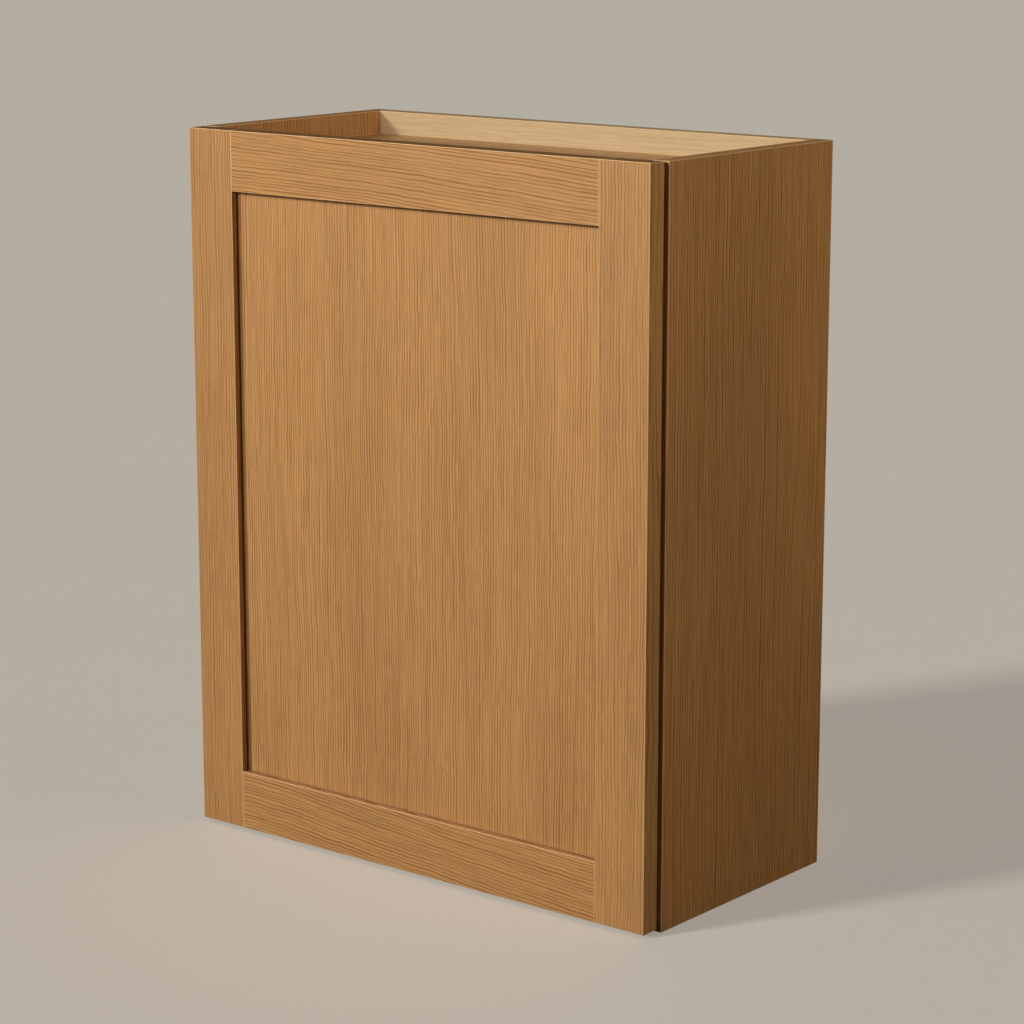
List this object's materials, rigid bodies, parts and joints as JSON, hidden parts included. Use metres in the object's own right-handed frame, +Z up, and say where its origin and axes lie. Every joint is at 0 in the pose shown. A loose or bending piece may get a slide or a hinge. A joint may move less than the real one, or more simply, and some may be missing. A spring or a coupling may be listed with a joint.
{
  "type": "hanging wall cabinet",
  "caption": "Hanging wall cabinet with a hinged shaker door, adjustable shelves on pegs and hang rails for fixing it to a wall.",
  "frame": {"origin": "middle of the base: halfway across the width and halfway between the door's face and the wall, at the bottom ends of the sides", "axes": "+X to the right when facing the door, +Y from the door towards the wall, +Z up"},
  "size_m": [0.6096, 0.3048, 0.762],
  "materials": {
    "oak_side": "satin clear lacquer on oak veneer, grain upright",
    "oak_level": "satin clear lacquer on oak veneer, grain across",
    "oak_band": "satin clear lacquer on oak edge banding",
    "oak_stile": "satin clear lacquer on solid oak, grain upright",
    "oak_rail": "satin clear lacquer on solid oak, grain across",
    "oak_door_panel": "satin clear lacquer on oak veneer, grain upright",
    "oak_back": "clear lacquer on thin oak-faced plywood",
    "maple_rail": "clear lacquer on plain maple",
    "beech_dowel": "bare fluted beech",
    "peg_steel": "zinc plated",
    "hinge_steel": "nickel plated pressed steel",
    "screw_steel": "zinc plated",
    "bumper": "soft translucent bumper"
  },
  "bodies": {
    "cabinet": {"side_panel_left": "oak_side", "side_panel_right": "oak_side", "top_panel": "oak_level", "bottom_panel": "oak_level", "back_panel": "oak_back", "hang_rail_top": "maple_rail", "hang_rail_bottom": "maple_rail", "rail_dowels": "beech_dowel", "edge_band_left": "oak_band", "edge_band_right": "oak_band", "edge_band_top": "oak_band", "edge_band_bottom": "oak_band", "shelf_lower_pegs": "peg_steel", "hinge_lower_arm": "hinge_steel", "hinge_lower_plate": "hinge_steel", "hinge_lower_plate_screws": "screw_steel", "hinge_lower_arm_screws": "screw_steel", "shelf_upper_pegs": "peg_steel", "hinge_upper_arm": "hinge_steel", "hinge_upper_plate": "hinge_steel", "hinge_upper_plate_screws": "screw_steel", "hinge_upper_arm_screws": "screw_steel"},
    "door": {"door_stile_hinge_side": "oak_stile", "door_stile_free_side": "oak_stile", "door_rail_top": "oak_rail", "door_rail_bottom": "oak_rail", "door_panel": "oak_door_panel", "door_bumper_lower": "bumper", "door_bumper_upper": "bumper", "hinge_lower_cup": "hinge_steel", "hinge_lower_pin": "hinge_steel", "hinge_lower_cup_screws": "screw_steel", "hinge_upper_cup": "hinge_steel", "hinge_upper_pin": "hinge_steel", "hinge_upper_cup_screws": "screw_steel"},
    "shelf_lower": {"shelf_lower": "oak_level", "shelf_lower_edge_band": "oak_band"},
    "shelf_upper": {"shelf_upper": "oak_level", "shelf_upper_edge_band": "oak_band"}
  },
  "joints": [
    {"name": "door_swing", "type": "hinge", "parent": "cabinet", "child": "door", "pos_m": [-0.2947, -0.139, 0.381], "axis": [0, 0, -1], "range_deg": [0, 105]},
    {"name": "shelf_lower_lift", "type": "slide", "parent": "cabinet", "child": "shelf_lower", "axis": [0, 0, 1], "range_m": [0, 0.032]},
    {"name": "shelf_upper_lift", "type": "slide", "parent": "cabinet", "child": "shelf_upper", "axis": [0, 0, 1], "range_m": [0, 0.032]}
  ]
}
